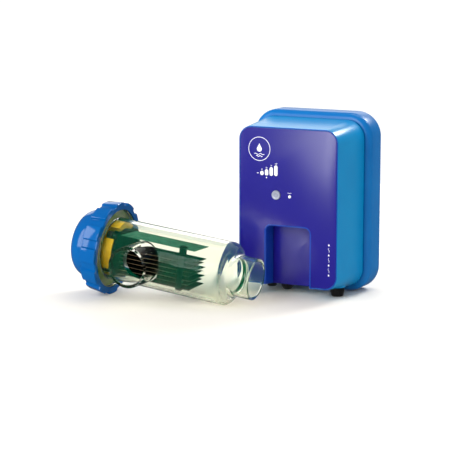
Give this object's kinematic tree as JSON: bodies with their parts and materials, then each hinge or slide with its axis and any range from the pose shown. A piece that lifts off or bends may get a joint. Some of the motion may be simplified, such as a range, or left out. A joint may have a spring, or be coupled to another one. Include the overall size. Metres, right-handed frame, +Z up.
{
  "type": "salt chlorine generator",
  "caption": "Pool salt chlorinator: wall-mounting control unit with rounded glossy front, and a clear electrolysis cell with plates, screw nut and two pipe ports.",
  "frame": {"origin": "middle of the bottom of the whole, on the floor that the control unit and the cell stand on", "axes": "+Z up, +X along the width of the control unit, towards its right side as seen from the front, and nearly along the cell; the control unit faces -Y"},
  "size_m": [0.3906, 0.2998, 0.266],
  "materials": {
    "cover_blue": "satin moulded",
    "tray_blue": "satin moulded",
    "nut_blue": "satin moulded",
    "panel_purple": "glossy film",
    "clear_plastic": "clear moulded plastic, faint green",
    "lamp_white": "translucent white",
    "button_silver": "silver-white satin",
    "black_rubber": "matt",
    "olive_rubber": "matt",
    "black_plastic": "semi-gloss moulded",
    "yellow_plastic": "moulded",
    "coated_titanium": "dark oxide-coated titanium",
    "circuit_board": "green solder resist",
    "aluminium": "extruded",
    "winding": "yellow tape over copper winding and steel core",
    "steel": "zinc plated",
    "fuse_glass": "glass tube"
  },
  "bodies": {
    "control_unit": {"front_cover": "cover_blue", "back_tray": "tray_blue", "cover_gasket": "black_rubber", "front_panel": "panel_purple", "recess_panel": "panel_purple", "level_lamp_1": "lamp_white", "level_lamp_2": "lamp_white", "level_lamp_3": "lamp_white", "level_lamp_4": "lamp_white", "status_led": "lamp_white", "tact_switch": "black_plastic", "display_board": "circuit_board", "power_board": "circuit_board", "heatsink": "aluminium", "terminal_block": "circuit_board", "capacitor_left": "black_plastic", "capacitor_right": "black_plastic", "toroid": "winding", "toroid_disc": "steel", "toroid_bolt": "steel", "wall_bracket": "steel", "mains_gland_body": "black_plastic", "mains_gland_seal": "black_rubber", "mains_gland_locknut": "black_plastic", "cell_gland_body": "black_plastic", "cell_gland_seal": "black_rubber", "cell_gland_locknut": "black_plastic", "fuse_holder": "black_plastic", "fuse": "fuse_glass"},
    "on_button": {"on_button": "button_silver"},
    "mains_gland_nut": {"mains_gland_nut": "black_plastic"},
    "cell_gland_nut": {"cell_gland_nut": "black_plastic"},
    "fuse_cap": {"fuse_cap": "black_plastic"},
    "cell": {"cell_housing": "clear_plastic"},
    "union_nut": {"union_nut": "nut_blue"},
    "electrode": {"electrode_head": "yellow_plastic", "head_cover": "nut_blue", "head_seal": "olive_rubber", "head_gland": "black_plastic", "head_gland_seal": "black_rubber", "head_screw_1": "steel", "head_screw_2": "steel", "head_screw_3": "steel", "head_screw_4": "steel", "terminal_boot_1": "black_rubber", "terminal_boot_2": "black_rubber", "terminal_boot_3": "black_rubber", "terminal_boot_4": "black_rubber", "plate_carrier": "black_plastic", "electrode_plate_1": "coated_titanium", "electrode_plate_2": "coated_titanium", "electrode_plate_3": "coated_titanium", "electrode_plate_4": "coated_titanium", "electrode_plate_5": "coated_titanium", "electrode_plate_6": "coated_titanium", "electrode_plate_7": "coated_titanium", "sensor_plate": "coated_titanium", "plate_comb": "black_plastic"}
  },
  "joints": [
    {"name": "cell_lift", "type": "slide", "parent": "control_unit", "child": "cell", "axis": [0, 0, 1], "range_m": [0, 0.15]},
    {"name": "electrode_pull", "type": "slide", "parent": "cell", "child": "electrode", "axis": [-0.9921, -0.0346, 0.1204], "range_m": [0, 0.17]},
    {"name": "nut_turn", "type": "hinge", "parent": "electrode", "child": "union_nut", "pos_m": [-0.13315, -0.06313, 0.06831], "axis": [0.9921, 0.0346, -0.1204], "continuous": true},
    {"name": "button_press", "type": "slide", "parent": "control_unit", "child": "on_button", "axis": [0, 1, 0], "range_m": [0, 0.0015], "stiffness_N_per_m": 800, "springref_m": -0.0006},
    {"name": "mains_gland_turn", "type": "hinge", "parent": "control_unit", "child": "mains_gland_nut", "pos_m": [0.07384, 0.08587, 0], "axis": [0, 0, 1], "continuous": true},
    {"name": "cell_gland_turn", "type": "hinge", "parent": "control_unit", "child": "cell_gland_nut", "pos_m": [0.16034, 0.07387, 0], "axis": [0, 0, 1], "continuous": true},
    {"name": "fuse_cap_turn", "type": "hinge", "parent": "control_unit", "child": "fuse_cap", "pos_m": [0.05334, 0.07487, 0], "axis": [0, 0, 1], "range_deg": [0, 90]}
  ]
}
